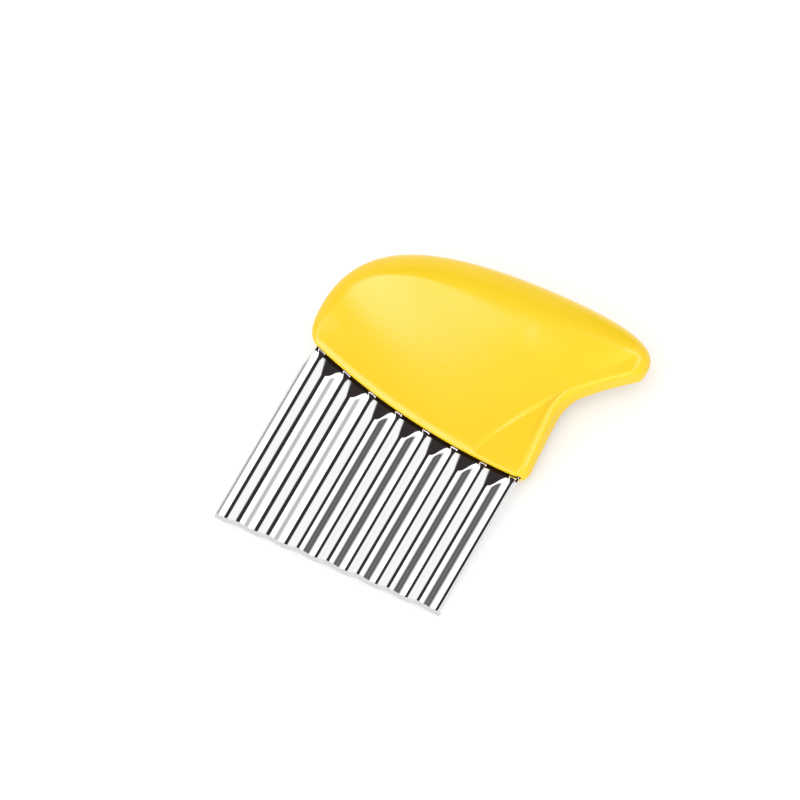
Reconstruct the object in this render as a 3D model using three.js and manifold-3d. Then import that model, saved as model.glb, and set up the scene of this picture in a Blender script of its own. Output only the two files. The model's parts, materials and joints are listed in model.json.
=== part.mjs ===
// Crinkle cutter: a corrugated stainless blade whose flat tang is clamped between the two moulded
// shells of a hooked handle. Millimetres. The cutter is shaped in its own frame, with x along the
// cutting edge towards the tail, y from the edge up to the handle and z out of the front face.
// z = 0 is the parting plane of the shells and the middle of the flat tang. At the end the whole
// cutter is laid on its back, so that it rests on the cutting edge and the rear of the crown.
import * as THREE from 'three';
import { mergeVertices } from 'three/addons/utils/BufferGeometryUtils.js';
import Module from 'manifold-3d';

// Blade
const bladeWidth = 69.2;
const sheet = 0.8;
const wavePitch = 9.42;
const firstRidge = 6.66;
const waveDepth = 1.6;
const edgeLand = 0.2;
const bevelLength = 0.9;
const runoutLength = 6.7;
const runoutInside = 1.25;
const stepsPerPitch = 12;

// Tang, the flat part of the blade inside the handle
const tangDepth = 16;
const tangInset = 5;
const shoulderDepth = 2.6;
const postCount = 3;
const postSpacing = 21;
const postRadius = 2;
const bossRadius = 4;

// Lip, the arc along which the blade enters the handle
const lipHeight = 42;
const lipRise = 11;
const lipMargin = 0.3;
const lipHalf = 2.8;
const lipFillet = 0.6;
const mouthSpare = 1.05;

// Handle outline, seen from the front
const noseBulge = 5;
const noseRise = 11;
const noseLean = 150;
const noseEase = 4;
const noseSweep = 19.8;
const crownRise = 49.7;
const crownPeakInset = 16.5;
const crownSweep = 38;
const tailSweep = 28;
const tipSweep = 5.2;
const tailReach = 16.1;
const tailDrop = 9.1;
const tipRadius = 4.4;
const tailSlope = 35;
const haunchInset = 13.7;
const haunchSlope = 70;
const haunchSweep = 16;

// Handle half thicknesses and edges
const noseHalf = 3.6;
const noseRoll = 5.4;
const crownHalf = 7;
const crownRoll = 8.6;
const tipHalf = 3.6;
const tipRoll = 2.6;
const tailHalf = 3.3;
const tailFillet = 1.2;
const flankHollow = 2;
const tailHollow = 1.3;

// Neck, the flat web between the lip and the tail
const neckHalf = 2.6;
const neckMargin = 1.7;
const neckJoint = 0.58;
const neckCorner = 3.6;
const neckRound = 6.5;
const neckRunout = 4.5;
const neckFillet = 1.2;
const webDepth = 4;

// Shells
const wall = 2;
const clearance = 0.3;
const shiplapHeight = 0.6;
const shiplapWidth = 0.85;
const ribCount = 4;
const ribSpacing = 17;
const ribThickness = 1.4;

// Facets
const lipSteps = 26;
const haunchSteps = 16;
const noseSteps = 6;
const tipSteps = 4;
const rimSteps = 5;
const flankSteps = 5;
const neckSteps = 10;
const filletSteps = 3;
const roundSides = 24;

// Reach of a cutting solid past what it cuts
const past = 5;
const deep = 40;

const plastic = { color: '#ffd330', roughness: 0.22, metalness: 0 };
const steel = { color: '#d9dbde', roughness: 0.08, metalness: 1 };

const { lerp, smoothstep, degToRad } = THREE.MathUtils;
const wasm = await Module();
wasm.setup();

// Closed geometry to solid and back

function closed(geometry) {
  const bare = geometry.clone();
  bare.deleteAttribute('normal');
  bare.deleteAttribute('uv');
  const merged = mergeVertices(bare, 1e-4);
  const index = merged.getIndex().array;
  const kept = [];
  for (let i = 0; i < index.length; i += 3) {
    const [a, b, c] = [index[i], index[i + 1], index[i + 2]];
    if (a !== b && b !== c && c !== a) kept.push(a, b, c);
  }
  merged.setIndex(kept);
  return merged;
}

function solid(geometry) {
  const mesh = closed(geometry);
  return new wasm.Manifold(new wasm.Mesh({
    numProp: 3,
    vertProperties: new Float32Array(mesh.getAttribute('position').array),
    triVerts: new Uint32Array(mesh.getIndex().array),
  }));
}

function geometryOf(manifold) {
  const mesh = manifold.getMesh();
  const geometry = new THREE.BufferGeometry();
  geometry.setAttribute('position', new THREE.BufferAttribute(mesh.vertProperties, 3));
  geometry.setIndex(new THREE.BufferAttribute(mesh.triVerts, 1));
  geometry.computeVertexNormals();
  return geometry;
}

function mirrorZ(geometry) {
  const mirrored = closed(geometry);
  mirrored.scale(1, 1, -1);
  mirrored.setIndex([...mirrored.getIndex().array].reverse());
  return mirrored;
}

// A skin over rows of points, each row as long as the next. The ring of a closed skin wraps round,
// and its two ends are capped with the end rows' own outlines, which lie in planes of constant x.
function skin(rows, wraps) {
  const count = rows[0].length;
  const positions = rows.flat().flatMap((p) => [p.x, p.y, p.z]);
  const index = [];
  const spans = wraps ? count : count - 1;
  for (let r = 0; r + 1 < rows.length; r += 1) {
    for (let k = 0; k < spans; k += 1) {
      const next = (k + 1) % count;
      const [a, b] = [r * count + k, r * count + next];
      const [c, d] = [a + count, b + count];
      index.push(a, c, b, b, c, d);
    }
  }
  if (wraps) {
    const last = (rows.length - 1) * count;
    const flat = (row) => row.map((p) => new THREE.Vector2(p.y, p.z));
    for (const [a, b, c] of THREE.ShapeUtils.triangulateShape(flat(rows[0]), [])) {
      index.push(a, c, b);
    }
    for (const [a, b, c] of THREE.ShapeUtils.triangulateShape(flat(rows.at(-1)), [])) {
      index.push(last + a, last + b, last + c);
    }
  }
  const geometry = new THREE.BufferGeometry();
  geometry.setAttribute('position', new THREE.Float32BufferAttribute(positions, 3));
  geometry.setIndex(index);
  return geometry;
}

function plate(points, low, high) {
  const shape = new THREE.Shape(points);
  const geometry = new THREE.ExtrudeGeometry(shape, { depth: high - low, bevelEnabled: false });
  return geometry.translate(0, 0, low);
}

function post(x, y, radius, low, high) {
  const geometry = new THREE.CylinderGeometry(radius, radius, high - low, roundSides);
  return geometry.rotateX(Math.PI / 2).translate(x, y, (low + high) / 2);
}

function block(low, high) {
  const size = high.clone().sub(low);
  const middle = low.clone().add(high).multiplyScalar(0.5);
  return new THREE.BoxGeometry(size.x, size.y, size.z).translate(middle.x, middle.y, middle.z);
}

// Lip arc, level at the blade's tail side and rising towards the nose

const lipRadius = (bladeWidth ** 2 + lipRise ** 2) / (2 * lipRise);
const lipCentre = new THREE.Vector2(bladeWidth, lipHeight + lipRadius);

function lipY(x) {
  return lipCentre.y - Math.sqrt(lipRadius ** 2 - (bladeWidth - x) ** 2);
}

function lipArc(fromX, toX, offset, steps) {
  const angle = (x) => -Math.PI / 2 - Math.asin((bladeWidth - x) / lipRadius);
  const arc = new THREE.ArcCurve(
    lipCentre.x, lipCentre.y, lipRadius - offset, angle(fromX), angle(toX), fromX > toX);
  return arc.getPoints(steps);
}

// Blade: a cosine wave across the width, cut off by a ramp that takes every ridge down to the flat
// tang just inside the lip

function waveAt(x) {
  const phase = (2 * Math.PI * (x - firstRidge)) / wavePitch;
  return {
    height: (waveDepth / 2) * (1 + Math.cos(phase)),
    slope: -((waveDepth * Math.PI) / wavePitch) * Math.sin(phase),
  };
}

function bladeColumns() {
  const step = wavePitch / stepsPerPitch;
  const columns = [0];
  const firstStep = Math.ceil((step / 2 - firstRidge) / step);
  for (let k = firstStep; firstRidge + k * step < bladeWidth - step / 2; k += 1) {
    columns.push(firstRidge + k * step);
  }
  columns.push(bladeWidth);
  return columns;
}

function bladeRing(x) {
  const { height, slope } = waveAt(x);
  const flatY = lipY(x) + runoutInside;
  const creaseY = flatY - (height / waveDepth) * runoutLength;
  const topY = lipY(x) + tangDepth + past;
  const half = (sheet / 2) * Math.hypot(1, slope);
  const point = (y, z) => new THREE.Vector3(x, y, z);
  return [
    point(0, height - half),
    point(0, height - half + edgeLand),
    point(bevelLength, height + half),
    point(creaseY, height + half),
    point(flatY, sheet / 2),
    point(topY, sheet / 2),
    point(topY, -sheet / 2),
    point(flatY, -sheet / 2),
    point(creaseY, height - half),
  ];
}

const postPlaces = Array.from({ length: postCount }, (_, k) => {
  const x = bladeWidth / 2 + (k - (postCount - 1) / 2) * postSpacing;
  return { x, y: lipY(x) + tangDepth / 2 };
});

// Outline of the tang with its shoulders, grown by a clearance, from a line below the lip up
function tangOutline(grow, below) {
  const [left, right] = [tangInset - grow, bladeWidth - tangInset + grow];
  const shoulder = shoulderDepth + grow;
  const [outLeft, outRight] = [-grow, bladeWidth + grow];
  return [
    new THREE.Vector2(outLeft, below),
    new THREE.Vector2(outRight, below),
    ...lipArc(outRight, right, shoulder, filletSteps),
    ...lipArc(right, left, tangDepth + grow, lipSteps),
    ...lipArc(left, outLeft, shoulder, filletSteps),
  ];
}

function makeBlade() {
  const wave = solid(skin(bladeColumns().map(bladeRing), true));
  let blade = wave.intersect(solid(plate(tangOutline(0, -past), -deep, deep)));
  for (const { x, y } of postPlaces) {
    blade = blade.subtract(solid(post(x, y, postRadius + clearance, -sheet * 2, sheet * 2)));
  }
  return geometryOf(blade);
}

// Handle outline. The lower edge runs along the lip and then up the haunch to the tail, and the
// upper edge runs round the nose, over the crown and round the tail's tip to the same point.

const at = (x, y) => new THREE.Vector2(x, y);
const heading = (degrees) => at(Math.cos(degToRad(degrees)), Math.sin(degToRad(degrees)));
const along = (start, direction, distance) => start.clone().addScaledVector(direction, distance);

const lipCorner = at(-lipMargin, lipY(-lipMargin));
const noseSide = at(-noseBulge, lipCorner.y + noseRise);
const crownPeak = at(bladeWidth - crownPeakInset, lipHeight + crownRise);
const tailTip = at(bladeWidth + tailReach, crownPeak.y - tailDrop);
const tipCentre = at(tailTip.x - tipRadius, tailTip.y);
const tailEnd = along(tipCentre, heading(tailSlope - 90), tipRadius);
const haunchFoot = at(bladeWidth - haunchInset, lipY(bladeWidth - haunchInset));

const nose = new THREE.CubicBezierCurve(
  lipCorner, along(lipCorner, heading(noseLean), noseEase),
  along(noseSide, heading(-90), noseEase), noseSide);
const crown = new THREE.CubicBezierCurve(
  noseSide, along(noseSide, heading(90), noseSweep), along(crownPeak, heading(180), crownSweep), crownPeak);
const back = new THREE.CubicBezierCurve(
  crownPeak, along(crownPeak, heading(0), tailSweep), along(tailTip, heading(90), tipSweep), tailTip);
const tip = new THREE.ArcCurve(
  tipCentre.x, tipCentre.y, tipRadius, 0, degToRad(tailSlope - 90), true);
const haunch = new THREE.CubicBezierCurve(
  haunchFoot, along(haunchFoot, heading(haunchSlope), haunchSweep),
  along(tailEnd, heading(tailSlope), -haunchSweep), tailEnd);

// Each edge point carries its rim: how high the handle is there and the radii of its rounded edge
function edgePoints(curve, steps, from, to) {
  return curve.getPoints(steps).map((point, k) => {
    const t = smoothstep(k / steps, 0, 1);
    const between = (size) => lerp(from[size], to[size], t);
    return { point, half: between('half'), width: between('width'), height: between('height') };
  });
}

const lipRim = { half: lipHalf, width: lipFillet, height: lipFillet };
const noseRim = { half: noseHalf, width: noseRoll, height: noseHalf };
const crownRim = { half: crownHalf, width: crownRoll, height: crownHalf };
const tipRim = { half: tipHalf, width: tipRoll, height: tipHalf };
const tailRim = { half: tailHalf, width: tailFillet, height: tailFillet };

const lowerEdge = [
  ...lipArc(lipCorner.x, haunchFoot.x, 0, lipSteps).map((point) => ({ point, ...lipRim })),
  ...edgePoints(haunch, haunchSteps, lipRim, tailRim).slice(1),
];
const upperEdge = [
  ...edgePoints(nose, noseSteps, lipRim, noseRim),
  ...edgePoints(crown, lipSteps - noseSteps, noseRim, crownRim).slice(1),
  ...edgePoints(back, haunchSteps - tipSteps, crownRim, tipRim).slice(1),
  ...edgePoints(tip, tipSteps, tipRim, tailRim).slice(1),
];

// Inward direction at each point of the closed outline, mitred so that an inset keeps its distance
function inwardNormals(points) {
  return points.map((point, i) => {
    const before = points.at(i - 1);
    const after = points[(i + 1) % points.length];
    const left = (a, b) => at(a.y - b.y, b.x - a.x).normalize();
    const first = left(before, point);
    const second = left(point, after);
    const normal = first.clone().add(second).normalize();
    return normal.divideScalar(normal.dot(first));
  });
}

const outline = [...lowerEdge, ...upperEdge.slice(1, -1).reverse()];
const normals = inwardNormals(outline.map((edge) => edge.point));
const columnCount = lowerEdge.length;

function upperIndex(column) {
  return column === 0 || column === columnCount - 1 ? column : outline.length - column;
}

// Points of a rim from the parting plane up its wall and over its rounded edge
function rimRow(i, inset, least) {
  const edge = outline[i];
  const half = Math.max(edge.half - inset, least);
  const width = Math.max(edge.width - inset, 0);
  const height = Math.min(Math.max(edge.height - inset, 0), half);
  const place = (distance, z) => {
    const p = along(edge.point, normals[i], inset + distance);
    return new THREE.Vector3(p.x, p.y, z);
  };
  const row = [place(0, 0)];
  for (let k = 0; k <= rimSteps; k += 1) {
    const turn = ((Math.PI / 2) * k) / rimSteps;
    row.push(place(width * (1 - Math.cos(turn)), half - height + height * Math.sin(turn)));
  }
  return row;
}

// One half of the handle's body, from the parting plane to the front face, inset all over. The
// flank sinks in a hollow curve from the crown's crease down to the lip.
function halfBody(inset, least) {
  const columns = lowerEdge.map((_, column) => {
    const low = rimRow(column, inset, least);
    const high = rimRow(upperIndex(column), inset, least);
    const [from, to] = [low.at(-1), high.at(-1)];
    const hollow = lerp(flankHollow, tailHollow, smoothstep(column, lipSteps, columnCount - 1));
    const flank = [];
    for (let k = 1; k < flankSteps; k += 1) {
      const t = k / flankSteps;
      const p = from.clone().lerp(to, t);
      flank.push(p.setZ(lerp(from.z, to.z, t ** hollow)));
    }
    return [...low, ...flank, ...high.reverse()];
  });
  const top = skin(columns, false);
  const feet = [];
  for (let i = 0; i < outline.length; i += 1) feet.push(rimRow(i, inset, least)[0]);
  const flat = feet.map((p) => at(p.x, p.y));
  const positions = [...top.getAttribute('position').array];
  const first = positions.length / 3;
  for (const p of feet) positions.push(p.x, p.y, p.z);
  const index = [...top.getIndex().array];
  for (const [a, b, c] of THREE.ShapeUtils.triangulateShape(flat, [])) {
    index.push(first + a, first + c, first + b);
  }
  const geometry = new THREE.BufferGeometry();
  geometry.setAttribute('position', new THREE.Float32BufferAttribute(positions, 3));
  geometry.setIndex(index);
  return geometry;
}

// Neck web: its front and rear are flat, and its free side is straight up to a round that runs
// out on the haunch

function neckWeb() {
  const side = bladeWidth + neckMargin;
  const joint = haunch.getPointAt(neckJoint);
  const shape = new THREE.Shape();
  const start = along(haunchFoot, heading(haunchSlope + 45), wall);
  shape.moveTo(start.x, start.y);
  for (const p of lipArc(haunchFoot.x, side - neckCorner, 0, neckSteps)) shape.lineTo(p.x, p.y);
  const corner = at(side, lipHeight + neckCorner);
  shape.quadraticCurveTo(side, lipHeight, corner.x, corner.y);
  const turn = joint.clone().lerp(corner, neckRound / joint.distanceTo(corner));
  shape.lineTo(turn.x, turn.y);
  const last = neckJoint + neckRunout / haunch.getLength();
  const end = haunch.getPointAt(last);
  shape.quadraticCurveTo(joint.x, joint.y, end.x, end.y);
  for (let k = neckSteps; k > 0; k -= 1) {
    const share = (last * k) / neckSteps;
    const tangent = haunch.getTangentAt(share);
    const inside = along(haunch.getPointAt(share), at(-tangent.y, tangent.x), webDepth);
    shape.lineTo(inside.x, inside.y);
  }
  const geometry = new THREE.ExtrudeGeometry(shape, {
    depth: 2 * (neckHalf - neckFillet),
    bevelThickness: neckFillet,
    bevelSize: neckFillet,
    bevelOffset: -neckFillet,
    bevelSegments: filletSteps,
    curveSegments: neckSteps,
  });
  return geometry.translate(0, 0, neckFillet - neckHalf);
}

// Strip along the upper rim, between two distances in from the outline
function crownStrip(outer, inner, low, high) {
  const first = upperIndex(noseSteps);
  const last = upperIndex(columnCount - tipSteps);
  const places = [];
  for (let i = first; i >= last; i -= 1) places.push(i);
  const line = (distance) => places.map((i) => along(outline[i].point, normals[i], distance));
  return plate([...line(outer), ...line(inner).reverse()].reverse(), low, high);
}

const pocketHalf = sheet / 2 + clearance;
const mouthHeight = pocketHalf + (waveDepth * runoutInside) / runoutLength + mouthSpare;

// Hollow of a shell: the inset body, with the bosses that clamp the tang and the ribs left standing
function shellHollow() {
  let hollow = solid(halfBody(wall, pocketHalf));
  for (const { x, y } of postPlaces) {
    hollow = hollow.subtract(solid(post(x, y, bossRadius, pocketHalf, deep)));
  }
  for (let k = 0; k < ribCount; k += 1) {
    const x = bladeWidth / 2 + (k - (ribCount - 1) / 2) * ribSpacing;
    const foot = lipY(x) + tangDepth + wall;
    const low = new THREE.Vector3(x - ribThickness / 2, foot, clearance + shiplapHeight);
    const high = new THREE.Vector3(x + ribThickness / 2, crownPeak.y + past, deep);
    hollow = hollow.subtract(solid(block(low, high)));
  }
  return hollow;
}

// Front half of the handle as moulded, before the features that differ between the two shells
function plainShell() {
  const [left, right] = [-noseBulge - past, tailTip.x + past];
  const parting = clearance / 2;
  const below = block(
    new THREE.Vector3(left, 0, -deep), new THREE.Vector3(right, crownPeak.y + past, parting));
  const pocket = plate(tangOutline(clearance, lipHeight - past), -deep, pocketHalf);
  return solid(halfBody(0, 0))
    .add(solid(neckWeb()))
    .subtract(solid(below))
    .subtract(shellHollow())
    .subtract(solid(pocket));
}

function makeFrontShell(plain) {
  const mouth = plate([
    at(-clearance, lipHeight - past),
    at(bladeWidth + clearance, lipHeight - past),
    ...lipArc(bladeWidth + clearance, -clearance, runoutInside + clearance, lipSteps),
  ], -deep, mouthHeight);
  const strip = crownStrip(wall - shiplapWidth, wall, -shiplapHeight, clearance + shiplapHeight);
  let shell = plain.subtract(solid(mouth)).add(solid(strip));
  for (const { x, y } of postPlaces) {
    shell = shell.add(solid(post(x, y, postRadius, clearance - neckHalf + wall / 2, pocketHalf + wall / 2)));
  }
  return geometryOf(shell);
}

function makeRearShell(plain) {
  const recess = crownStrip(
    wall - shiplapWidth - clearance, wall + clearance, -past, shiplapHeight + clearance);
  let shell = plain.subtract(solid(recess));
  for (const { x, y } of postPlaces) {
    shell = shell.subtract(solid(post(x, y, postRadius + clearance, 0, neckHalf - wall / 2)));
  }
  return mirrorZ(geometryOf(shell));
}

// Assembly

function piece(name, geometry, finish) {
  const mesh = new THREE.Mesh(geometry, new THREE.MeshStandardMaterial(finish));
  mesh.name = name;
  return mesh;
}

// Angle at which a flat table under the cutting edge also touches the rear shell
function restAngle(rearGeometry) {
  const places = rearGeometry.getAttribute('position');
  let steepest = 0;
  for (let i = 0; i < places.count; i += 1) {
    steepest = Math.max(steepest, (-sheet / 2 - places.getZ(i)) / places.getY(i));
  }
  return Math.atan(steepest);
}

const plain = plainShell();
const blade = piece('blade', makeBlade(), steel);
const frontShell = piece('handle_front_shell', makeFrontShell(plain), plastic);
const rearShell = piece('handle_rear_shell', makeRearShell(plain), plastic);

const cutter = new THREE.Group();
cutter.add(blade, frontShell, rearShell);
cutter.rotation.x = restAngle(rearShell.geometry);

const lying = new THREE.Group();
lying.add(cutter);
lying.updateMatrixWorld(true);
const box = new THREE.Box3().setFromObject(cutter, true);
const centre = box.getCenter(new THREE.Vector3());
cutter.position.set(-centre.x, -centre.y, -box.min.z);

export default lying;
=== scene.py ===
# %% [markdown]
# # A crinkle cutter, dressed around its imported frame
# The cutter has three pieces: a corrugated steel blade and the two glossy yellow shells that are
# welded round its tang. The frame gives their places, and this lesson makes each of them again as a
# smooth mesh with a finish of its own. Everything is in metres, in the frame's own axes.

# %% Load the frame
import json
import math

import bmesh
import bpy
from mathutils import Matrix, Vector


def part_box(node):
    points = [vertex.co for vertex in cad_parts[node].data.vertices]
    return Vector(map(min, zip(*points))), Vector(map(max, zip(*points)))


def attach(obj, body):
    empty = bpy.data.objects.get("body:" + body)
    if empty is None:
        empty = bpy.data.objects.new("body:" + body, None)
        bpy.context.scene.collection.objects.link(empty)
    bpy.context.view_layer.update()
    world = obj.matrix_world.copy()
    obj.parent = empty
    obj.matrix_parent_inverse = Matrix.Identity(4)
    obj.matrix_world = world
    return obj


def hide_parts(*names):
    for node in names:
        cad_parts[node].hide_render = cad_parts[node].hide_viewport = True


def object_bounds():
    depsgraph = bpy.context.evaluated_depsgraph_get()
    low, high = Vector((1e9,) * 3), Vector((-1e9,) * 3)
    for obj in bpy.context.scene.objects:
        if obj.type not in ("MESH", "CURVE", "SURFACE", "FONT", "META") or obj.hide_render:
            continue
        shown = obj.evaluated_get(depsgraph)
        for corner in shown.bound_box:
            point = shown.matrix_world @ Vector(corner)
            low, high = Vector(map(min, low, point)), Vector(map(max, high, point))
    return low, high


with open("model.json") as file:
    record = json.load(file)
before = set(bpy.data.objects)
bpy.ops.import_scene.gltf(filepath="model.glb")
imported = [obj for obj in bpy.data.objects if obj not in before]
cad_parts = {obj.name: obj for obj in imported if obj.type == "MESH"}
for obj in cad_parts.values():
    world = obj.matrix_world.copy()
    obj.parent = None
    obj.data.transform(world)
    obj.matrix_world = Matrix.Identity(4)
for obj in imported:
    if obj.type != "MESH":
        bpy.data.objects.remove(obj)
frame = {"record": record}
cad_low, cad_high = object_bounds()
scene = bpy.context.scene
scene.view_settings.view_transform = "Standard"
MM = 0.001
print("CAD box in mm:", [round(side / MM, 2) for side in cad_high - cad_low])

# %% [markdown]
# ## How the cutter lies
# It is easiest to shape the cutter in its own axes: x along the cutting edge, y up the blade to the
# handle, z out of the front face. On the table it lies on its back, a few degrees off level, because
# the crown of the handle is thicker than the blade. The tilt is read from the flat of the neck in the
# record, and the corner of the edge from the blade's box, so nothing has to be fitted by eye.

# %% From the cutter's own axes to the table
sheet = 0.8 * MM
wave_depth = 1.6 * MM
edge_land = 0.2 * MM

neck_flat = next(m for m in frame["record"]["mounts"] if m["name"] == "front_neck_flat")
tilt = math.atan2(-neck_flat["axis"][1], neck_flat["axis"][2])
blade_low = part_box("blade")[0]
ridge_reach = wave_depth - sheet / 2 + edge_land
edge_corner = Vector((
    blade_low.x,
    blade_low.y + ridge_reach * math.sin(tilt),
    sheet / 2 * math.cos(tilt),
))
lay_down = Matrix.Translation(edge_corner) @ Matrix.Rotation(tilt, 4, "X")
print("tilt in degrees:", round(math.degrees(tilt), 3), "edge corner:", edge_corner)

# %% [markdown]
# ## The camera
# The photograph was taken from far away with a long lens: the flutes stay parallel in it. The camera
# stands to the right of the cutting edge, looks down steeply and is rolled, so the cutter seems to
# lean to the left. An orthographic camera would come close, but a long lens keeps the slight
# narrowing that a real one shows. The lens follows from how many pixels a metre of the cutter fills.

# %% Camera
view_azimuth = math.radians(54.28)
view_elevation = math.radians(57.99)
view_roll = math.radians(-26.14)
view_distance = 8.0
sight_limit = 20
sensor_width = 36
pixels_per_metre = 3859
image_pixels = 800
aim_along = 28.24 * MM
aim_up = 48.83 * MM

camera_data = bpy.data.cameras.new("camera")
camera_data.sensor_width = sensor_width
camera_data.lens = sensor_width * pixels_per_metre * view_distance / image_pixels
camera_data.clip_end = sight_limit
camera = bpy.data.objects.new("camera", camera_data)
scene.collection.objects.link(camera)
scene.camera = camera
turn = Matrix.Rotation(view_azimuth, 4, "Z") @ Matrix.Rotation(math.pi / 2 - view_elevation, 4, "X")
turn = turn @ Matrix.Rotation(view_roll, 4, "Z")
aim = lay_down @ Vector((aim_along, aim_up, 0))
towards_camera = turn.to_3x3() @ Vector((0, 0, 1))
camera.matrix_world = Matrix.Translation(aim + towards_camera * view_distance) @ turn
print("camera at", camera.matrix_world.translation, "lens", round(camera_data.lens, 1))

# %% [markdown]
# ## Floor
# The cutter lies on a plain white sheet. It is flat and shows no edge, so a grid of one face will do.
# It lies a hair below the solids' box, because the rear of the crown is a little fuller here than in
# the solids and would dip through it.

# %% Floor sheet
floor_size = 6.0
floor_gap = 0.3 * MM

floor_mesh = bpy.data.meshes.new("floor")
bm = bmesh.new()
bmesh.ops.create_grid(bm, x_segments=1, y_segments=1, size=floor_size / 2)
bmesh.ops.translate(bm, verts=bm.verts, vec=(0, 0, cad_low.z - floor_gap))
bm.to_mesh(floor_mesh)
bm.free()
floor = bpy.data.objects.new("floor", floor_mesh)
scene.collection.objects.link(floor)
print("floor at z =", round((cad_low.z - floor_gap) / MM, 2), "mm")

# %% [markdown]
# ## Floor paint
# The paint is matt and a little gray, so it keeps the cutter's shadow. More light would turn it white
# and burn out the yellow. Instead a glow is added to it, only for the rays that come from the camera,
# from gloss or through glass. The helpers here serve every later node tree too.

# %% Floor paint
floor_gray = (0.65, 0.65, 0.65, 1)
floor_lift = 0.45


def add_node(tree, kind, inputs=None, **settings):
    node = tree.nodes.new(kind)
    for name, value in settings.items():
        setattr(node, name, value)
    for socket, value in (inputs or {}).items():
        node.inputs[socket].default_value = value
    return node


def wire(tree, source, target):
    tree.links.new(source, target)


def combine(tree, operation, first, second):
    node = add_node(tree, "ShaderNodeMath", operation=operation)
    wire(tree, first, node.inputs[0])
    wire(tree, second, node.inputs[1])
    return node.outputs[0]


def new_material(name):
    material = bpy.data.materials.new(name)
    material.use_nodes = True
    material.node_tree.nodes.clear()
    return material, material.node_tree


floor_paint, tree = new_material("floor_white")
output = add_node(tree, "ShaderNodeOutputMaterial")
matt = add_node(tree, "ShaderNodeBsdfDiffuse", {"Color": floor_gray})
glow = add_node(tree, "ShaderNodeEmission")
ray = add_node(tree, "ShaderNodeLightPath").outputs
strength = add_node(tree, "ShaderNodeMath", {1: floor_lift}, operation="MULTIPLY")
both = add_node(tree, "ShaderNodeAddShader")
camera_or_gloss = combine(tree, "MAXIMUM", ray["Is Camera Ray"], ray["Is Glossy Ray"])
or_glass = combine(tree, "MAXIMUM", camera_or_gloss, ray["Is Transmission Ray"])
wire(tree, or_glass, strength.inputs[0])
wire(tree, strength.outputs[0], glow.inputs["Strength"])
wire(tree, matt.outputs[0], both.inputs[0])
wire(tree, glow.outputs[0], both.inputs[1])
wire(tree, both.outputs[0], output.inputs["Surface"])
floor_mesh.materials.append(floor_paint)
print(floor_paint.name, "has", len(tree.nodes), "nodes")

# %% [markdown]
# ## The room
# Polished steel has no colour of its own: what it shows is the room. Here the room is a dark ceiling
# with pale walls, and the dark draws the lines on the flutes. Real walls could be built round the
# cutter, but they would block the lamps. So the world's nodes draw the room from the direction of each
# ray: four pale parts with soft borders on a dark ground. Only glossy rays see it. All other rays get
# plain white, which lights the plastic evenly and stands behind the object.

# %% World
dark_ceiling = (0.035, 0.028, 0.028, 1)
white = (1, 1, 1, 1)
# Each border runs from dark to pale, as shares of a ray's direction along one axis.
low_border = (0.66, 0.52)
left_border = (-0.35, -0.5)
back_border = (0.75, 0.55)
front_border = (0.05, -0.15)
front_top = (0.85, 0.7)
right_border = (0.42, 0.68)
right_level = 0.4
ceiling_end_right = (0.5, 0.3)
ceiling_end_left = (0.05, 0.15)


def smooth_step(tree, source, border, top=1.0):
    limits = {"From Min": border[0], "From Max": border[1], "To Max": top}
    step = add_node(tree, "ShaderNodeMapRange", limits, interpolation_type="SMOOTHSTEP")
    wire(tree, source, step.inputs["Value"])
    return step.outputs["Result"]


world = bpy.data.worlds.new("studio")
scene.world = world
world.use_nodes = True
tree = world.node_tree
tree.nodes.clear()
output = add_node(tree, "ShaderNodeOutputWorld")
place = add_node(tree, "ShaderNodeTexCoord")
axes = add_node(tree, "ShaderNodeSeparateXYZ")
wire(tree, place.outputs["Generated"], axes.inputs[0])
x, y, z = (axes.outputs[name] for name in "XYZ")

left_or_front = combine(
    tree, "MAXIMUM", smooth_step(tree, x, left_border), smooth_step(tree, y, back_border))
low_wall = combine(tree, "MULTIPLY", smooth_step(tree, z, low_border), left_or_front)
front_wall = combine(
    tree, "MULTIPLY", smooth_step(tree, y, front_border), smooth_step(tree, z, front_top))
right_wall = smooth_step(tree, x, right_border, right_level)
ceiling_end = combine(
    tree, "MULTIPLY", smooth_step(tree, x, ceiling_end_right), smooth_step(tree, x, ceiling_end_left))
level = low_wall
for part_of_room in (front_wall, right_wall, ceiling_end):
    level = combine(tree, "MAXIMUM", level, part_of_room)

shade = add_node(tree, "ShaderNodeMix", {"A": dark_ceiling, "B": white}, data_type="RGBA")
room = add_node(tree, "ShaderNodeBackground", {"Strength": 1.0})
plain = add_node(tree, "ShaderNodeBackground", {"Color": white, "Strength": 1.0})
ray = add_node(tree, "ShaderNodeLightPath").outputs
choose = add_node(tree, "ShaderNodeMixShader")
wire(tree, level, shade.inputs["Factor"])
wire(tree, shade.outputs["Result"], room.inputs["Color"])
wire(tree, ray["Is Glossy Ray"], choose.inputs["Fac"])
wire(tree, plain.outputs[0], choose.inputs[1])
wire(tree, room.outputs[0], choose.inputs[2])
wire(tree, choose.outputs[0], output.inputs["Surface"])
print("world:", len(tree.nodes), "nodes")

# %% [markdown]
# ## Soft boxes
# A soft box is a lamp behind a white cloth. Its reflection is the broad highlight on gloss. An area
# lamp does the same, and here its light is given as the brightness of its face, so that a box can grow
# without growing paler. The boxes show only in reflections, since the world gives the even light. The
# ones for the handle are cool, because blue on deep yellow makes the pale yellow of its highlights.
# The low fill is the other way round: it shows in no reflection and brightens the low side walls.

# %% Soft boxes
watts_per_radiance = 4
white_light = (1, 1, 1)
cool_light = (0.5, 0.52, 1.0)
fill_light = (0.85, 0.9, 1.0)
middle = (0, 0, 0)


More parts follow.
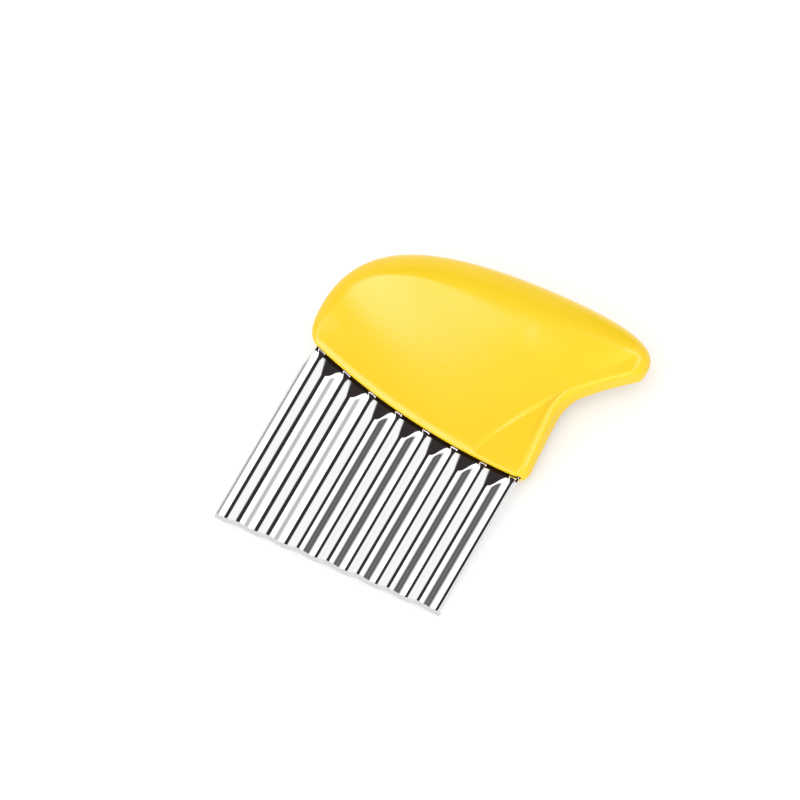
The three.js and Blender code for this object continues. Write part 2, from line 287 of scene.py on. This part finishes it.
def soft_box(name, place, aim_at, width, length, radiance, tint):
    data = bpy.data.lights.new(name, "AREA")
    data.color = tint
    data.shape = "RECTANGLE"
    data.size = width
    data.size_y = length
    data.energy = watts_per_radiance * radiance * width * length
    lamp = bpy.data.objects.new(name, data)
    scene.collection.objects.link(lamp)
    shine = Vector(aim_at) - Vector(place)
    lamp.rotation_euler = shine.to_track_quat("-Z", "Y").to_euler()
    lamp.location = place
    lamp.visible_camera = False
    lamp.visible_diffuse = False
    return lamp


soft_box(
    "overhead", place=(-0.025, 0.215, 0.9), aim_at=(-0.025, 0.215, 0),
    width=0.57, length=0.37, radiance=1.0, tint=white_light)
flank_box = soft_box(
    "flank_box", place=(-0.205, -0.077, 0.25), aim_at=(-0.205, -0.077, 0),
    width=0.19, length=0.166, radiance=5.2, tint=cool_light)
lip_strip = soft_box(
    "lip_strip", place=(-0.4, -0.72, 0.6), aim_at=middle,
    width=0.9, length=0.3, radiance=5.0, tint=cool_light)
tail_box = soft_box(
    "tail_box", place=(0.36, -0.78, 0.51), aim_at=middle,
    width=0.5, length=0.3, radiance=5.0, tint=cool_light)
haunch_box = soft_box(
    "haunch_box", place=(0.3, -0.12, 0.94), aim_at=middle,
    width=0.26, length=0.32, radiance=7.0, tint=cool_light)
neck_box = soft_box(
    "neck_box", place=(0.6, 0.31, 0.73), aim_at=middle,
    width=0.45, length=0.45, radiance=5.0, tint=cool_light)
low_fill = soft_box(
    "low_fill", place=(0.55, -0.75, 0.14), aim_at=middle,
    width=1.6, length=0.2, radiance=3.2, tint=fill_light)
low_fill.visible_diffuse = True
low_fill.visible_glossy = False
handle_lamps = [flank_box, lip_strip, tail_box, haunch_box, neck_box, low_fill]

# %% [markdown]
# ## Handling marks
# Plastic and steel both pick up fine scuffs that run one way. A photograph of scratches could be
# wrapped round the pieces, but noise that is stretched along one axis gives the same streaks at any
# size. It is a node group, so that every finish can use it with a density of its own.

# %% Handling marks, shared by the finishes
mark_turn = math.radians(33)
mark_stretch = 14
mark_detail = 5
mark_start = 0.62
mark_full = 0.8


def build_marks_group():
    group = bpy.data.node_groups.new("handling_marks", "ShaderNodeTree")
    group.interface.new_socket("Density", in_out="INPUT", socket_type="NodeSocketFloat")
    group.interface.new_socket("Mask", in_out="OUTPUT", socket_type="NodeSocketFloat")
    start = add_node(group, "NodeGroupInput")
    end = add_node(group, "NodeGroupOutput")
    place = add_node(group, "ShaderNodeTexCoord")
    along = {"Rotation": (0, 0, mark_turn), "Scale": (1, mark_stretch, 1)}
    stretch = add_node(group, "ShaderNodeMapping", along)
    streaks = add_node(group, "ShaderNodeTexNoise", {"Detail": mark_detail})
    pick = add_node(group, "ShaderNodeMapRange", {"From Min": mark_start, "From Max": mark_full})
    wire(group, place.outputs["Object"], stretch.inputs["Vector"])
    wire(group, stretch.outputs[0], streaks.inputs["Vector"])
    wire(group, start.outputs["Density"], streaks.inputs["Scale"])
    wire(group, streaks.outputs["Fac"], pick.inputs["Value"])
    wire(group, pick.outputs["Result"], end.inputs["Mask"])
    return group


marks_group = build_marks_group()
print(marks_group.name, "has", len(marks_group.nodes), "nodes")

# %% [markdown]
# ## Yellow plastic
# The handle is moulded in a glossy, deep yellow. Up close such a skin is never quite even: it has a
# faint orange-peel ripple from the mould, slight swirls of pigment, and light marks from handling.
# A plain colour with a coat would look like paint, so each of the three gets its own noise. In the
# slot the skin gets painted shade: the same recipe with a dark pigment and a dull surface, standing
# in for the shade inside the mouth.

# %% Plastic finish
plastic_ior = 1.46
plastic_marks = 160
swirl_noise = {"Scale": 28, "Detail": 3}
peel_noise = {"Scale": 900, "Detail": 2}
peel_ripple = {"Strength": 0.04, "Distance": 0.1 * MM}


def make_plastic(name, deep, light, smooth, rough):
    material, tree = new_material(name)
    output = add_node(tree, "ShaderNodeOutputMaterial")
    skin = add_node(tree, "ShaderNodeBsdfPrincipled", {"IOR": plastic_ior})
    place = add_node(tree, "ShaderNodeTexCoord")

    swirl = add_node(tree, "ShaderNodeTexNoise", swirl_noise)
    pigment = add_node(tree, "ShaderNodeMix", {"A": (*deep, 1), "B": (*light, 1)}, data_type="RGBA")
    wire(tree, place.outputs["Object"], swirl.inputs["Vector"])
    wire(tree, swirl.outputs["Fac"], pigment.inputs["Factor"])
    wire(tree, pigment.outputs["Result"], skin.inputs["Base Color"])

    marks = add_node(tree, "ShaderNodeGroup", node_tree=marks_group)
    marks.inputs["Density"].default_value = plastic_marks
    gloss = add_node(tree, "ShaderNodeMapRange", {"To Min": smooth, "To Max": rough})
    wire(tree, marks.outputs["Mask"], gloss.inputs["Value"])
    wire(tree, gloss.outputs["Result"], skin.inputs["Roughness"])

    peel = add_node(tree, "ShaderNodeTexNoise", peel_noise)
    ripple = add_node(tree, "ShaderNodeBump", peel_ripple)
    wire(tree, place.outputs["Object"], peel.inputs["Vector"])
    wire(tree, peel.outputs["Fac"], ripple.inputs["Height"])
    wire(tree, ripple.outputs["Normal"], skin.inputs["Normal"])
    wire(tree, skin.outputs[0], output.inputs["Surface"])
    return material


plastic = make_plastic(
    "gloss_yellow", deep=(1.0, 0.65, 0.004), light=(1.0, 0.69, 0.008), smooth=0.26, rough=0.31)
# Dark plastic as painted shade for the inside of the mouth and its reflection in the ramps.
slot_shade_plastic = make_plastic(
    "slot_painted_shade", deep=(0.03, 0.012, 0.004), light=(0.06, 0.024, 0.006), smooth=0.5, rough=0.7)
print("made", plastic.name, "and", slot_shade_plastic.name)

# %% [markdown]
# ## Polished steel
# The blade is polished to a mirror along its flutes, so its faint lines run the same way. The narrow
# bevel at the cutting edge is ground and duller. Right under the lip the ramps get painted shade: a
# dark steel that stands in for the shaded lip and mouth that they mirror. One recipe makes all three:
# metal with noise that is stretched along the flutes as its bump, and handling marks in its roughness.

# %% Steel finishes
steel_marks = 240
line_stretch = 60
line_noise = {"Scale": 1, "Detail": 4}
line_relief = 0.02 * MM


def make_steel(name, shade, smooth, rough, lines, line_depth):
    material, tree = new_material(name)
    output = add_node(tree, "ShaderNodeOutputMaterial")
    metal = add_node(tree, "ShaderNodeBsdfPrincipled", {"Metallic": 1, "Base Color": (*shade, 1)})
    place = add_node(tree, "ShaderNodeTexCoord")
    comb = add_node(tree, "ShaderNodeMapping", {"Scale": (lines, lines / line_stretch, lines)})
    polish = add_node(tree, "ShaderNodeTexNoise", line_noise)
    marks = add_node(tree, "ShaderNodeGroup", node_tree=marks_group)
    marks.inputs["Density"].default_value = steel_marks
    gloss = add_node(tree, "ShaderNodeMapRange", {"To Min": smooth, "To Max": rough})
    groove = add_node(tree, "ShaderNodeBump", {"Strength": line_depth, "Distance": line_relief})
    wire(tree, place.outputs["Object"], comb.inputs["Vector"])
    wire(tree, comb.outputs[0], polish.inputs["Vector"])
    wire(tree, marks.outputs["Mask"], gloss.inputs["Value"])
    wire(tree, gloss.outputs["Result"], metal.inputs["Roughness"])
    wire(tree, polish.outputs["Fac"], groove.inputs["Height"])
    wire(tree, groove.outputs["Normal"], metal.inputs["Normal"])
    wire(tree, metal.outputs[0], output.inputs["Surface"])
    return material


polished = make_steel(
    "polished_steel", shade=(0.94, 0.94, 0.95), smooth=0.05, rough=0.1, lines=2500, line_depth=0.05)
ground = make_steel(
    "ground_edge", shade=(0.72, 0.73, 0.74), smooth=0.2, rough=0.3, lines=6000, line_depth=0.2)
# Dark steel as painted shade for the ramps under the lip, which mirror the shaded lip.
lip_shade_steel = make_steel(
    "steel_painted_shade", shade=(0.025, 0.016, 0.014), smooth=0.4, rough=0.6, lines=900, line_depth=0.3)
print("made", polished.name, ground.name, "and", lip_shade_steel.name)

# %% [markdown]
# ## The lip
# The lip is a shallow arc, level at the neck and rising towards the nose. The blade's flutes run out
# along it and the handle ends on it, so both pieces take it from the same function.

# %% Lip arc
blade_width = 69.2 * MM
lip_height = 42 * MM
lip_rise = 11 * MM
lip_radius = (blade_width ** 2 + lip_rise ** 2) / (2 * lip_rise)


def lip_y(x):
    return lip_height + lip_radius - math.sqrt(lip_radius ** 2 - (blade_width - x) ** 2)


print("lip radius in mm:", round(lip_radius / MM, 1))

# %% [markdown]
# ## From a grid to a piece
# All three pieces start as flat grids whose points are then lifted into place, because a grid keeps
# neat rows for the light to run along. The first helper finds each point of a new grid by its column
# and row. The second closes a mesh, lays it on the table, and says what it rides on and stands for.

# %% Helpers for the pieces
merge_distance = 0.0005 * MM
least_edge = 0.0002 * MM
half_grid = 0.5


def grid_of(bm, columns, rows):
    made = bmesh.ops.create_grid(bm, x_segments=columns, y_segments=rows, size=half_grid)
    places = {}
    for vert in made["verts"]:
        column = round((vert.co.x + half_grid) * columns)
        row = round((vert.co.y + half_grid) * rows)
        places[column, row] = vert
    return places


def finish_piece(name, bm, materials, node):
    bmesh.ops.remove_doubles(bm, verts=bm.verts, dist=merge_distance)
    bmesh.ops.dissolve_degenerate(bm, edges=bm.edges, dist=least_edge)
    bmesh.ops.recalc_face_normals(bm, faces=bm.faces)
    bmesh.ops.transform(bm, matrix=lay_down, verts=bm.verts)
    for face in bm.faces:
        face.smooth = True
    mesh = bpy.data.meshes.new(name)
    bm.to_mesh(mesh)
    open_edges = sum(not edge.is_manifold for edge in bm.edges)
    print(name, "faces:", len(bm.faces), "open edges:", open_edges)
    bm.free()
    for material in materials:
        mesh.materials.append(material)
    piece = bpy.data.objects.new(name, mesh)
    scene.collection.objects.link(piece)
    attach(piece, "root")
    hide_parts(node)
    return piece


print("points closer than", merge_distance / MM, "mm are merged")

# %% [markdown]
# ## Blade
# The blade is one stamping. A wave runs across it, and just under the lip a ramp takes every ridge
# down to the flat tang. Where ramp and wave meet there is a crisp line with a small radius, which turns
# softer towards the lip. The press leaves one wall of each flute steeper than the other and the first
# flutes a little shallower. A displaced plane could give the wave, but not a sheet of even thickness.
# So one function gives the middle of the sheet, and its slope tells how far the two faces lie apart.

# %% Blade shape
wave_pitch = 9.42 * MM
first_ridge = 6.66 * MM
runout_length = 6.7 * MM
runout_inside = 1.25 * MM
apex_blend = 0.2 * MM
lip_blend = 1.35 * MM
wall_skew = 0.35
shallow = 0.155
shallow_start = (2 * MM, 6 * MM)
shallow_end = (20 * MM, 26 * MM)
# The flat beside the first ridge is less shallow than the first flutes are.
edge_share = 0.45
slope_probe = 0.01 * MM


def mix(a, b, t):
    return a + (b - a) * t


def ease(t):
    t = min(max(t, 0), 1)
    return t * t * (3 - 2 * t)


def smooth_min(a, b, blend):
    share = max(blend - abs(a - b), 0) / blend
    return min(a, b) - share * share * blend / 4


def flute(x):
    turn = 2 * math.pi * (x - first_ridge) / wave_pitch
    height = (1 + math.cos(turn)) / 2
    if math.sin(turn) > 0:
        height -= wall_skew / 8 * (1 - math.cos(2 * turn))
    begun = ease((x - shallow_start[0]) / (shallow_start[1] - shallow_start[0]))
    ended = ease((x - shallow_end[0]) / (shallow_end[1] - shallow_end[0]))
    return wave_depth * (1 - shallow * (mix(edge_share, 1, begun) - ended)) * height


def sheet_middle(x, y):
    ramp = (lip_y(x) + runout_inside - y) * wave_depth / runout_length
    blend = mix(lip_blend, apex_blend, min(max(ramp / wave_depth, 0), 1))
    return max(smooth_min(flute(x), ramp, blend), 0)


def sheet_surface(x, y, offset):
    slope_x = (sheet_middle(x + slope_probe, y) - sheet_middle(x - slope_probe, y)) / (2 * slope_probe)
    slope_y = (sheet_middle(x, y + slope_probe) - sheet_middle(x, y - slope_probe)) / (2 * slope_probe)
    lift = offset * math.sqrt(1 + slope_x ** 2 + slope_y ** 2)
    return sheet_middle(x, y) + lift


print("first ridge in mm:", round(flute(first_ridge) / MM, 2), "of", wave_depth / MM)

# %% [markdown]
# ## Blade mesh
# Two grids are bent to the front and the rear of the sheet. Their rows lie close together at the ground
# bevel and at the ramps, where the form changes quickly, and far apart on the straight flutes. The left
# side rolls out a little below the ramps. At the cutting edge the front grid is brought down to a
# narrow land, which makes the bevel. Then bridge_loops joins the two borders all the way round.

# %% Blade rows
bevel_length = 0.9 * MM
edge_rows = [0, 0.03 * MM, 0.4 * MM, 0.86 * MM, bevel_length, 0.94 * MM]
flute_rows = 4
runout_rows = 44
runout_from = -6.6 * MM
runout_to = 1.8 * MM
tang_rows = 3
tang_depth = 16 * MM


def blade_row_places(x):
    start = lip_y(x) + runout_from
    rows = list(edge_rows)
    for k in range(1, flute_rows + 1):
        rows.append(mix(edge_rows[-1], start, k / flute_rows))
    for k in range(1, runout_rows + 1):
        rows.append(lip_y(x) + mix(runout_from, runout_to, k / runout_rows))
    for k in range(1, tang_rows + 1):
        rows.append(lip_y(x) + mix(runout_to, tang_depth, k / tang_rows))
    return rows


print("blade rows:", len(blade_row_places(0)))

# %% Blade mesh
columns_per_pitch = 40
blade_columns = round(blade_width / wave_pitch * columns_per_pitch)
left_roll = 0.65 * MM
bevel_slack = 0.001 * MM
# How far below the lip, and how steep a face must be, for the painted shade on the ramps.
lip_shade_width = 1.1 * MM
lip_shade_tilt = 0.1
blade_finishes = [polished, ground, lip_shade_steel]


def blade_side(bm, side):
    row_count = len(blade_row_places(0)) - 1
    places = grid_of(bm, blade_columns, row_count)
    for (column, row), vert in places.items():
        x = blade_width * column / blade_columns
        y = blade_row_places(x)[row]
        x -= left_roll * max(1 - x / wave_pitch, 0) * ease((lip_y(x) - y) / runout_length)
        z = sheet_surface(x, y, side * sheet / 2)
        if side > 0 and y < bevel_length:
            land = sheet_surface(x, y, -sheet / 2) + edge_land
            z = mix(land, z, y / bevel_length)
        vert.co = (x, y, z)
    return places


bm = bmesh.new()
front = blade_side(bm, 1)
blade_side(bm, -1)
for (_, row), vert in front.items():
    if row < edge_rows.index(bevel_length):
        for face in vert.link_faces:
            if max(v.co.y for v in face.verts) <= bevel_length + bevel_slack:
                face.material_index = blade_finishes.index(ground)
bm.normal_update()
for face in bm.faces:
    # Sloping faces just under the lip get the dark steel: painted shade for the shaded lip they mirror.
    centre = face.calc_center_median()
    if centre.y > lip_y(centre.x) - lip_shade_width and abs(face.normal.y) > lip_shade_tilt:
        face.material_index = blade_finishes.index(lip_shade_steel)
bmesh.ops.bridge_loops(bm, edges=[edge for edge in bm.edges if edge.is_boundary])
finish_piece("blade_sheet", bm, blade_finishes, "blade")

# %% [markdown]
# ## Handle outline
# Seen from the front, the handle is bounded below by the lip, the free side of the neck and the
# underside of the tail, and above by the nose, the crown, the back and the round tip of the tail. It
# could be drawn by hand as a curve object, but then its lip might drift from the blade's. So each
# stretch is a Bezier curve or an arc between corners that are measured from the blade.

# %% Corners of the outline
lip_margin = 0.3 * MM
nose_overhang = 5 * MM
nose_height = 11 * MM
peak_inset = 16.5 * MM
peak_height = 49.7 * MM
tail_overhang = 16.1 * MM
tail_drop = 9.1 * MM
tip_radius = 4.4 * MM
haunch_inset = 13.7 * MM

lip_corner = Vector((-lip_margin, lip_y(-lip_margin)))
nose_side = Vector((-nose_overhang, lip_corner.y + nose_height))
crown_peak = Vector((blade_width - peak_inset, lip_height + peak_height))
tail_tip = Vector((blade_width + tail_overhang, crown_peak.y - tail_drop))
tip_centre = tail_tip - Vector((tip_radius, 0))
haunch_foot = Vector((blade_width - haunch_inset, lip_y(blade_width - haunch_inset)))
corners = (lip_corner, nose_side, crown_peak, tail_tip, haunch_foot)
print("outline corners in mm:", [tuple(round(c / MM, 1) for c in corner) for corner in corners])

# %% [markdown]
# ## The haunch
# The haunch is the line where the full flank ends on the thin web of the neck. It starts on the lip,
# swings up and becomes the underside of the tail, so the outline uses its second part. Its points are
# laid close together and carry their length from the start, since the flank is measured from it later.

# %% Haunch line
tail_slope = 35
haunch_sweep = 16 * MM
haunch_slope = 70
fine_steps = 400
neck_joint = 0.58
neck_runout = 4.5 * MM


def heading(degrees):
    return Vector((math.cos(math.radians(degrees)), math.sin(math.radians(degrees))))


def shares(steps, low=0, high=1):
    return [mix(low, high, k / steps) for k in range(steps + 1)]


def bezier(start, start_pull, end, end_pull, places):
    points = []
    for t in places:
        rest = 1 - t
        points.append(
            start * rest ** 3 + (start + start_pull) * 3 * rest ** 2 * t
            + (end + end_pull) * 3 * rest * t ** 2 + end * t ** 3)
    return points


def run_lengths(points):
    lengths = [0]
    for a, b in zip(points, points[1:]):
        lengths.append(lengths[-1] + (b - a).length)
    return lengths


def haunch_index(run):
    return next(k for k, length in enumerate(haunch_run) if length >= run)


tail_end = tip_centre + tip_radius * heading(tail_slope - 90)
haunch = bezier(
    haunch_foot, haunch_sweep * heading(haunch_slope),
    tail_end, -haunch_sweep * heading(tail_slope), shares(fine_steps))
haunch_run = run_lengths(haunch)
joint_run = neck_joint * haunch_run[-1]
joint = haunch[haunch_index(joint_run)]
neck_end = haunch_index(joint_run + neck_runout)
print("haunch length in mm:", round(haunch_run[-1] / MM, 1))

# %% [markdown]
# ## Columns of the handle
# The skin is a grid whose columns run from the lower line to the upper line, so both lines need the
# same number of points. The lower one is lip, neck corner, neck side, the round under the tail and the
# tail itself. The upper one is nose, crown, back and tip.

# %% Lower line
neck_corner = 3.6 * MM
neck_round = 6.5 * MM
neck_overhang = 1.7 * MM
lip_columns = 120
neck_lip_columns = 30
neck_corner_columns = 14
neck_side_columns = 36
neck_round_columns = 20
tail_columns = 72
neck_columns = neck_lip_columns + neck_corner_columns + neck_side_columns + neck_round_columns


def round_corner(start, corner, end, steps):
    return bezier(start, (corner - start) * 2 / 3, end, (corner - end) * 2 / 3, shares(steps))


def lip_line(start, end, steps):
    return [Vector((x, lip_y(x))) for x in shares(steps, start, end)]


neck_side_x = blade_width + neck_overhang
corner_top = Vector((neck_side_x, lip_height + neck_corner))
corner_foot = Vector((neck_side_x - neck_corner, lip_y(neck_side_x - neck_corner)))
corner_tip = Vector((neck_side_x, lip_height))
side_end = joint.lerp(corner_top, neck_round / (corner_top - joint).length)
tail_line = [haunch[round(k)] for k in shares(tail_columns, neck_end, fine_steps)]
lower_line = (
    lip_line(lip_corner.x, haunch_foot.x, lip_columns)
    + lip_line(haunch_foot.x, corner_foot.x, neck_lip_columns)[1:]
    + round_corner(corner_foot, corner_tip, corner_top, neck_corner_columns)[1:]
    + [corner_top.lerp(side_end, t) for t in shares(neck_side_columns)][1:]
    + round_corner(side_end, joint, haunch[neck_end], neck_round_columns)[1:]
    + tail_line[1:])
print("lower line:", len(lower_line), "points")

# %% Upper line
nose_columns = 30
tip_columns = 32
back_split = 0.3
nose_lean = heading(150)
right, up, left, down = [heading(turn) for turn in (0, 90, 180, -90)]
nose_pull = 4 * MM
crown_rise = 19.8 * MM
crown_sweep = 38 * MM
back_sweep = 28 * MM
tip_sweep = 5.2 * MM


def arc(centre, radius, start, end, steps):
    return [centre + radius * heading(turn) for turn in shares(steps, start, end)]


crown_places = shares(lip_columns - nose_columns)
back_places = shares(neck_columns, 0, back_split) + shares(tail_columns - tip_columns, back_split, 1)[1:]
upper_line = (
    bezier(lip_corner, nose_pull * nose_lean, nose_side, nose_pull * down, shares(nose_columns))
    + bezier(nose_side, crown_rise * up, crown_peak, crown_sweep * left, crown_places)[1:]
    + bezier(crown_peak, back_sweep * right, tail_tip, tip_sweep * up, back_places)[1:]
    + arc(tip_centre, tip_radius, 0, tail_slope - 90, tip_columns)[1:])
print("upper line:", len(upper_line), "points")

# %% Directions into the handle
def inward(line, k, before, after, side):
    a = line[k - 1] if k > 0 else before
    b = line[k + 1] if k + 1 < len(line) else after
    first = (line[k] - a).orthogonal().normalized() * side
    second = (b - line[k]).orthogonal().normalized() * side
    middle = (first + second).normalized()
    return middle / middle.dot(first)


columns = range(len(lower_line))
lower_inward = [inward(lower_line, k, upper_line[1], upper_line[-2], 1) for k in columns]
upper_inward = [inward(upper_line, k, lower_line[1], lower_line[-2], -1) for k in columns]
print("columns of the skin:", len(columns))

# %% [markdown]
# ## Rims
# The edge of the handle is rounded all the way, thickly on the crown and thinly at the lip. A bevel
# would give one width everywhere, so every point of the outline has a rim of its own: half the
# handle's thickness there, and the width and the height of its round. Between two rims they ease over.

# %% Rims along the two lines
lip_rim = (2.8 * MM, 2.2 * MM, 0.9 * MM)
nose_rim = (3.6 * MM, 5.4 * MM, 3.6 * MM)
crown_rim = (7 * MM, 8.6 * MM, 7 * MM)
tip_rim = (3.6 * MM, 2.6 * MM, 3.6 * MM)
tail_rim = (3.3 * MM, 1.6 * MM, 1.4 * MM)
neck_rim = (2.6 * MM, 0.8 * MM, 0.8 * MM)
side_rim = (2.6 * MM, 2.4 * MM, 1.6 * MM)
haunch_rim = (2.8 * MM, 1.6 * MM, 0.9 * MM)
# The gains let a rim reach its end before the stretch does.
haunch_gain = 1.8
crown_gain = 1.6
neck_first = lip_columns
neck_last = lip_columns + neck_columns


def blend_rims(first, second, share):
    return tuple(mix(a, b, ease(share)) for a, b in zip(first, second))


def rims_along(places, start, end):
    return [blend_rims(start, end, share) for share in places]


def rim_between(share):
    return blend_rims(haunch_rim, tail_rim, share * haunch_gain)


def lower_rim(column):
    if column < neck_first:
        return lip_rim
    if column <= neck_last:
        rim = blend_rims(neck_rim, side_rim, (column - neck_first - neck_lip_columns) / neck_corner_columns)
        to_tail = 1 - (neck_last - column) / (neck_side_columns + neck_round_columns)
        return blend_rims(rim, rim_between(haunch_run[neck_end] / haunch_run[-1]), to_tail)
    place = round(mix(neck_end, fine_steps, (column - neck_last) / tail_columns))
    return rim_between(haunch_run[place] / haunch_run[-1])


upper_rims = (
    rims_along(shares(nose_columns), lip_rim, nose_rim)
    + rims_along([share * crown_gain for share in crown_places], nose_rim, crown_rim)[1:]
    + rims_along(back_places, crown_rim, tip_rim)[1:]
    + rims_along(shares(tip_columns), tip_rim, tail_rim)[1:])
print("neck columns from", neck_first, "to", neck_last)

# %% Rows of a rim
rim_rows = 16
seam = 0.02 * MM
guard_seams = 3


def rim_path(point, direction, rim, base):
    half, width, height = rim
    least = max((base + seam - (half - height)) / height, 0)
    start = math.asin(min(least, 1))
    path = []
    for k in range(rim_rows + 1):
        turn = mix(start, math.pi / 2, k / rim_rows)
        inset = width * (1 - math.cos(turn))
        path.append((point + direction * inset, half - height + height * math.sin(turn)))
    foot, wall_top = path[0]
    guard = min(base + guard_seams * seam, wall_top)
    wall = [(foot + direction * seam, base), (foot, base + seam), (foot, guard)]
    return wall + path


print("rows of the lip with its wall:", len(rim_path(lip_corner, up, lip_rim, 0)))

# %% [markdown]
# ## Flank
# From the rounded crown the flank sinks in a hollow curve to the lip, so a crease shows under the
# crown. Towards the tail the crease fades out. The neck is a flat web, and the flank ends on it in a
# soft step along the haunch. Sculpting could give this, but not twice the same, so the height is
# worked out from the distances to the haunch, to the lip and to the crown.

# %% Distance from the haunch
haunch_stride = 8


def haunch_distance(point):
    nearest = min(range(0, len(haunch), haunch_stride), key=lambda k: (haunch[k] - point).length_squared)
    k = min(max(nearest, 1), len(haunch) - 2)
    along = (haunch[k + 1] - haunch[k - 1]).normalized()
    across = Vector((-along.y, along.x))
    ahead = point - haunch[k]
    return ahead.dot(across), (haunch_run[k] + ahead.dot(along)) / haunch_run[-1]


print("from the haunch to the peak in mm:", round(haunch_distance(crown_peak)[0] / MM, 1))

# %% Rows of the flank
flank_rows = 96
flank_hollow = 2
tail_hollow = 1.3
step_blend = 0.12 * MM
corner_blend = 14 * MM
crease_round = 2.2 * MM
crease_full = 75
crease_gone = 175


def smooth_max(a, b, blend):
    return -smooth_min(-a, -b, blend)


def rim_height(rim, inset):
    half, width, height = rim
    reach = min(max(inset / width, 0), 1)
    return half - height + height * math.sqrt(1 - (1 - reach) ** 2)


def flank_path(column):
    low_rim, high_rim = lower_rim(column), upper_rims[column]
    from_point = lower_line[column] + lower_inward[column] * low_rim[1]
    to_point = upper_line[column] + upper_inward[column] * high_rim[1]
    past_lip = ease((column - neck_first) / (len(lower_line) - 1 - neck_first))
    hollow = mix(flank_hollow, tail_hollow, past_lip)
    top = high_rim[0]
    fade = crease_round * ease((column - crease_full) / (crease_gone - crease_full))
    fade = max(min(fade, top - low_rim[0]), seam)
    in_neck = neck_first < column <= neck_last
    reach = (to_point - from_point).length
    path = []
    for t in shares(flank_rows):
        p = from_point.lerp(to_point, t)
        d, share = haunch_distance(p)
        half, width, height = rim_between(share)
        above_lip = p.y - lip_y(p.x) - lip_rim[1]
        if column > neck_first:
            above_lip = max(above_lip, corner_blend)
        foot = max(smooth_min(above_lip, d - width, corner_blend), 0)
        rise = foot / max(foot + (1 - t) * reach, seam)
        z = smooth_min(mix(half, top + fade, rise ** hollow), top, fade)
        if in_neck:
            if d < width:
                z = rim_height((half, width, height), d) if d > 0 else 0
            z = smooth_max(z, neck_rim[0], step_blend)
        path.append((p, z))
    return path[1:-1]


flanks = [flank_path(column) for column in columns]
print("flank:", len(flanks), "columns of", len(flanks[0]), "rows")

# %% [markdown]
# ## Shells
# Each shell is a moulded half with a wall round it. The grid of the outside is lifted column by column,
# with a mouth along the lip where the blade comes out. Solidify would thicken it everywhere, and the
# thin lip would then cross itself. So its border is extruded inwards as a flange, then up as a low wall,
# and a lid closes it out of sight. The inner faces of the mouth take the dark plastic as painted shade.
# The rear shell is the same with its side turned over and a lower mouth, since the ramps rise only to
# the front.

# %% Columns of a shell
parting_gap = 0.004 * MM
slot_clearance = 0.3 * MM
slot_half = sheet / 2 + slot_clearance
front_mouth = slot_half + wave_depth * runout_inside / runout_length


def base_height(point, column, mouth):
    on_lip = column <= neck_first + neck_lip_columns + neck_corner_columns
    in_slot = -slot_clearance < point.x < blade_width + slot_clearance
    return mouth if on_lip and in_slot else parting_gap


def handle_column(column, mouth):
    low_point, high_point = lower_line[column], upper_line[column]
    low_base = base_height(low_point, column, mouth)
    low = rim_path(low_point, lower_inward[column], lower_rim(column), low_base)
    high = rim_path(high_point, upper_inward[column], upper_rims[column], parting_gap)
    return low + flanks[column] + high[::-1]


print("mouth in mm: front", round(front_mouth / MM, 2), "rear", round(slot_half / MM, 2))

# %% Handle shells
shell_wall = 1.6 * MM
recess = 1.6 * MM
# How far from the lip the painted shade inside the mouth reaches.
slot_shade_reach = 3 * MM
shell_finishes = [plastic, slot_shade_plastic]


def only(kind, items):
    return [item for item in items if isinstance(item, kind)]


def make_shell(name, side, mouth, node):
    bm = bmesh.new()
    sections = [handle_column(column, mouth) for column in columns]
    row_count = len(sections[0]) - 1
    inward_of = bm.verts.layers.float_vector.new("inward")
    places = grid_of(bm, len(columns) - 1, row_count)
    for (column, row), vert in places.items():
        point, z = sections[column][row]
        vert.co = (point.x, point.y, side * z)
        away = lower_inward[column] if row < row_count / 2 else upper_inward[column]
        vert[inward_of] = (away.x, away.y, 0)
    bmesh.ops.remove_doubles(bm, verts=bm.verts, dist=merge_distance)
    rim = [edge for edge in bm.edges if edge.is_boundary]
    print(name, "rim edges:", len(rim))
    outside = set(bm.faces)
    flange = bmesh.ops.extrude_edge_only(bm, edges=rim)["geom"]
    for vert in only(bmesh.types.BMVert, flange):
        vert.co += vert[inward_of] * shell_wall
    walls = bmesh.ops.extrude_edge_only(bm, edges=only(bmesh.types.BMEdge, flange))["geom"]
    for vert in only(bmesh.types.BMVert, walls):
        vert.co.z = side * recess
    bmesh.ops.contextual_create(bm, geom=only(bmesh.types.BMEdge, walls))
    # Inner faces near the lip get the dark plastic: painted shade for the inside of the mouth.
    for face in bm.faces:
        centre = face.calc_center_median()
        from_lip = abs(centre.y - lip_y(centre.x))
        if face not in outside and 0 < centre.x < blade_width and from_lip < slot_shade_reach:
            face.material_index = shell_finishes.index(slot_shade_plastic)
    bmesh.ops.triangulate(bm, faces=[face for face in bm.faces if len(face.verts) > 4])
    return finish_piece(name, bm, shell_finishes, node)


front_shell = make_shell("handle_front", 1, front_mouth, "handle_front_shell")
rear_shell = make_shell("handle_rear", -1, slot_half, "handle_rear_shell")

# %% [markdown]
# ## Flags
# In a studio, black flags keep a lamp off one part of the object. Here the handle's soft boxes would
# draw their own stripes on the mirror-bright flutes. Light linking does the work of the flags: these
# lamps light only what is in a collection, and that holds the two shells.

# %% Keep the handle's soft boxes off the blade
lit_by_boxes = bpy.data.collections.new("lit_by_boxes")
for shell in (front_shell, rear_shell):
    lit_by_boxes.objects.link(shell)
for lamp in handle_lamps:
    lamp.light_linking.receiver_collection = lit_by_boxes
print("flagged lamps:", [lamp.name for lamp in handle_lamps])
